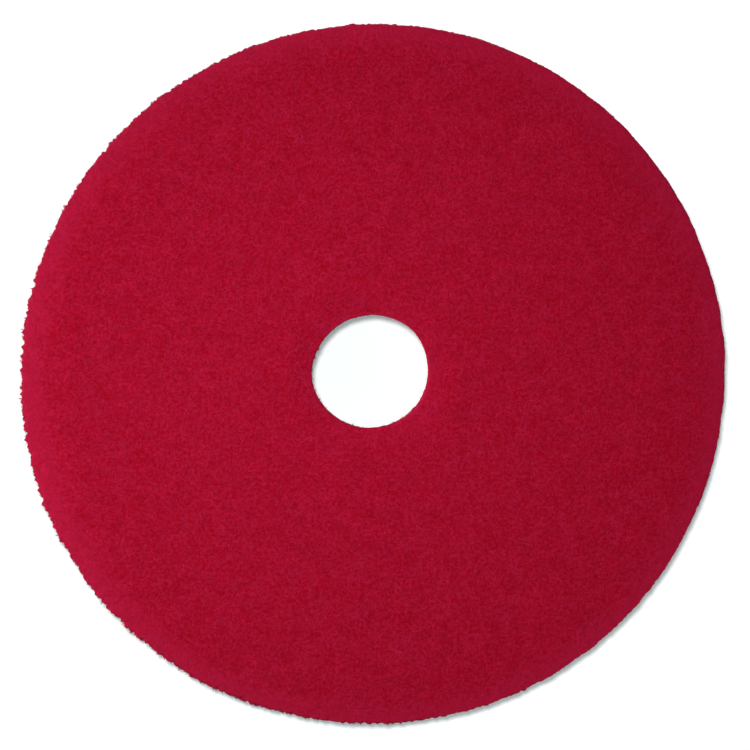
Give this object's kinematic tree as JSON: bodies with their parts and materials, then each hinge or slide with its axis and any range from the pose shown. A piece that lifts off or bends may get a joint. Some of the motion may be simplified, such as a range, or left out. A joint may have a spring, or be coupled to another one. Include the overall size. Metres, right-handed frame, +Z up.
{
  "type": "floor pad",
  "caption": "Round red nonwoven pad with a centre hole, which a rotary floor machine's driver spins flat on the floor to buff it.",
  "frame": {"origin": "on the disc's axis, in the plane of the face that lies on the floor", "axes": "+Z up along the disc's axis, from the floor face to the driver face; X and Y lie in the floor face"},
  "size_m": [0.508, 0.508, 0.0254],
  "materials": {
    "red_nonwoven": "matte fibrous"
  },
  "bodies": {
    "root": {"floor_pad": "red_nonwoven"}
  },
  "joints": []
}
